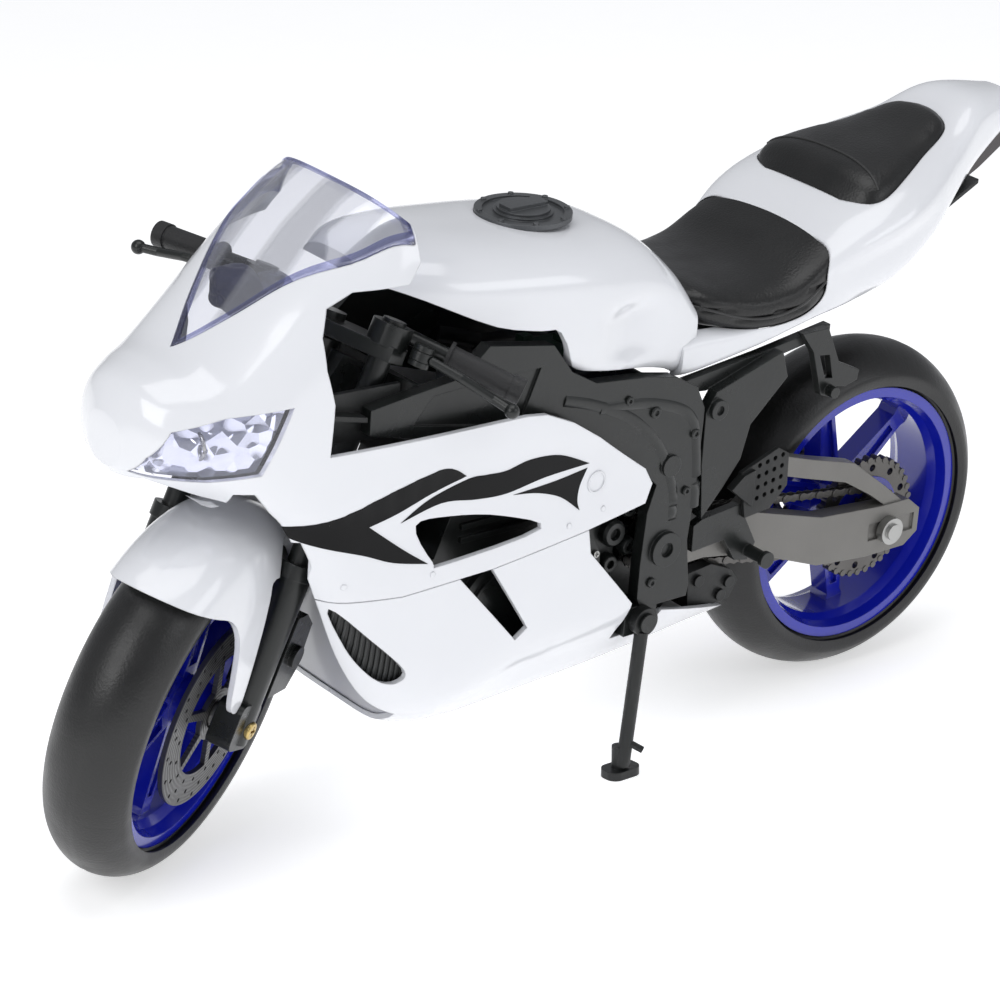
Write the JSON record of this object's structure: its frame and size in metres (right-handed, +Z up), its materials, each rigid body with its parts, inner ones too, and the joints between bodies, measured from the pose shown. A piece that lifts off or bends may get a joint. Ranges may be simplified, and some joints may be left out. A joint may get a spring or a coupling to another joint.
{
  "type": "radio-controlled motorcycle",
  "caption": "Radio-controlled sports motorcycle on its side stand, with turning fork, sprung swingarm, chain drive and full white bodywork.",
  "frame": {"origin": "On the ground, directly under the middle of the overall box of the machine as it stands.", "axes": "+X forward, +Y to the rider's left, +Z up; the machine leans 6 degrees towards +Y onto its stand and the front wheel is turned 30 degrees to the left."},
  "size_m": [0.3397, 0.0996, 0.1866],
  "materials": {
    "body_white": "moulded gloss white with a faint cool tint",
    "screen_clear": "clear with a pale lavender edge",
    "lamp_clear": "clear lens",
    "lamp_chrome": "faceted bright reflector",
    "frame_black": "satin greenish black",
    "tube_dark": "smooth dark grey",
    "dash_blue": "dark blue grain",
    "grip_rubber": "ribbed soft rubber",
    "seat_skin": "fine-grained black cover",
    "tyre_rubber": "slick with a fine centre seam",
    "rim_blue": "royal blue gloss",
    "arm_grey": "warm mid grey satin",
    "disc_steel": "concentric brushing",
    "chain_steel": "dark oiled steel",
    "screw_brass": "brass-plated cross-head screws",
    "shaft_steel": "turned steel",
    "gear_white": "white nylon",
    "gear_black": "black housings",
    "battery_wrap": "shrink-wrapped cells",
    "board_green": "solder-masked board"
  },
  "bodies": {
    "chassis": {"main_frame": "frame_black", "engine_case_left": "frame_black", "engine_case_right": "frame_black", "case_screws": "shaft_steel", "drive_motor": "shaft_steel", "footrest_hangers": "frame_black", "heel_guards": "frame_black", "exhaust_box": "frame_black", "pillion_hangers": "frame_black", "battery_pack": "battery_wrap", "control_board": "board_green", "power_switch": "gear_black", "steering_servo": "gear_black", "fuel_tank": "body_white", "fuel_cap": "frame_black", "rider_seat": "seat_skin", "pillion_seat": "seat_skin", "tail_cowl": "body_white", "tail_lamp": "frame_black", "undertray": "frame_black", "upper_cowl": "body_white", "windscreen": "screen_clear", "headlight_lenses": "lamp_clear", "headlight_reflectors": "lamp_chrome", "lower_fairing_left": "body_white", "lower_fairing_right": "body_white", "duct_inserts": "frame_black", "inner_panels": "frame_black", "instrument_panel": "dash_blue", "radiator": "frame_black"},
    "steering": {"steering_stem": "frame_black", "fork_tubes": "tube_dark", "handlebars": "frame_black", "handlebar_grips": "grip_rubber"},
    "clutch_lever": {"clutch_lever": "frame_black"},
    "brake_lever": {"brake_lever": "frame_black"},
    "fork_lower": {"fork_sliders": "frame_black", "front_fender": "body_white", "front_calipers": "frame_black", "front_axle": "shaft_steel", "axle_screws": "screw_brass"},
    "front_wheel": {"front_rim": "rim_blue", "front_tyre": "tyre_rubber", "front_discs": "disc_steel"},
    "swingarm": {"swingarm": "arm_grey", "rear_axle": "shaft_steel", "rear_caliper": "frame_black", "drive_chain": "chain_steel"},
    "rear_wheel": {"rear_rim": "rim_blue", "rear_tyre": "tyre_rubber", "rear_sprocket": "chain_steel", "rear_disc": "disc_steel"},
    "countershaft": {"countershaft": "shaft_steel", "drive_gear": "gear_white", "front_sprocket": "chain_steel"},
    "motor_rotor": {"motor_pinion": "gear_white"},
    "servo_horn": {"servo_horn": "gear_white"},
    "drag_link": {"drag_link": "gear_white"},
    "side_stand": {"side_stand": "frame_black"},
    "switch_slider": {"switch_slider": "gear_black"}
  },
  "joints": [
    {"name": "steering_turn", "type": "hinge", "parent": "chassis", "child": "steering", "pos_m": [0.08307, -0.001, 0.13058], "axis": [-0.3987, 0.0959, 0.912], "range_deg": [-60, 0]},
    {"name": "clutch_lever_pull", "type": "hinge", "parent": "steering", "child": "clutch_lever", "pos_m": [0.06658, 0.02857, 0.14065], "axis": [-0.3987, 0.0959, 0.912], "range_deg": [0, 6], "stiffness_Nm_per_rad": 0.05, "springref_deg": -11.46},
    {"name": "brake_lever_pull", "type": "hinge", "parent": "steering", "child": "brake_lever", "pos_m": [0.09363, -0.02102, 0.15769], "axis": [0.3987, -0.0959, -0.912], "range_deg": [0, 6], "stiffness_Nm_per_rad": 0.05, "springref_deg": -11.46},
    {"name": "fork_compress", "type": "slide", "parent": "steering", "child": "fork_lower", "axis": [-0.3987, 0.0959, 0.912], "range_m": [0, 0.004], "stiffness_N_per_m": 1500, "springref_m": -0.004},
    {"name": "front_wheel_spin", "type": "hinge", "parent": "fork_lower", "child": "front_wheel", "pos_m": [0.1226, -0.00718, 0.04983], "axis": [-0.4585, 0.8404, -0.2888], "continuous": true},
    {"name": "swingarm_lift", "type": "hinge", "parent": "chassis", "child": "swingarm", "pos_m": [-0.02683, -0.00781, 0.06573], "axis": [0, 0.9945, -0.1045], "range_deg": [0, 5], "stiffness_Nm_per_rad": 6, "springref_deg": -8.02},
    {"name": "rear_wheel_spin", "type": "hinge", "parent": "swingarm", "child": "rear_wheel", "pos_m": [-0.11683, -0.00927, 0.05181], "axis": [0, 0.9945, -0.1045], "continuous": true},
    {"name": "countershaft_spin", "type": "hinge", "parent": "chassis", "child": "countershaft", "pos_m": [-0.02683, -0.00781, 0.06573], "axis": [0, 0.9945, -0.1045], "continuous": true},
    {"name": "motor_spin", "type": "hinge", "parent": "chassis", "child": "motor_rotor", "pos_m": [-0.01003, -0.00781, 0.06573], "axis": [0, 0.9945, -0.1045], "continuous": true},
    {"name": "servo_turn", "type": "hinge", "parent": "chassis", "child": "servo_horn", "pos_m": [0.05907, -0.00414, 0.10068], "axis": [-0.3987, 0.0959, 0.912], "range_deg": [-60, 0]},
    {"name": "drag_link_pivot", "type": "hinge", "parent": "servo_horn", "child": "drag_link", "pos_m": [0.06338, -0.01394, 0.10688], "axis": [-0.3987, 0.0959, 0.912], "range_deg": [0, 60]},
    {"name": "side_stand_fold", "type": "hinge", "parent": "chassis", "child": "side_stand", "pos_m": [-0.01583, 0.02189, 0.04602], "axis": [0, 0.9945, -0.1045], "range_deg": [0, 80], "stiffness_Nm_per_rad": 0.05, "springref_deg": -17.19},
    {"name": "switch_slide", "type": "slide", "parent": "chassis", "child": "switch_slider", "axis": [1, 0, 0], "range_m": [0, 0.0022]}
  ],
  "couplings": [
    {"joint": "countershaft_spin", "follows": "rear_wheel_spin", "ratio": 1.3333},
    {"joint": "motor_spin", "follows": "rear_wheel_spin", "ratio": -4},
    {"joint": "servo_turn", "follows": "steering_turn", "ratio": 1},
    {"joint": "drag_link_pivot", "follows": "steering_turn", "ratio": -1}
  ]
}
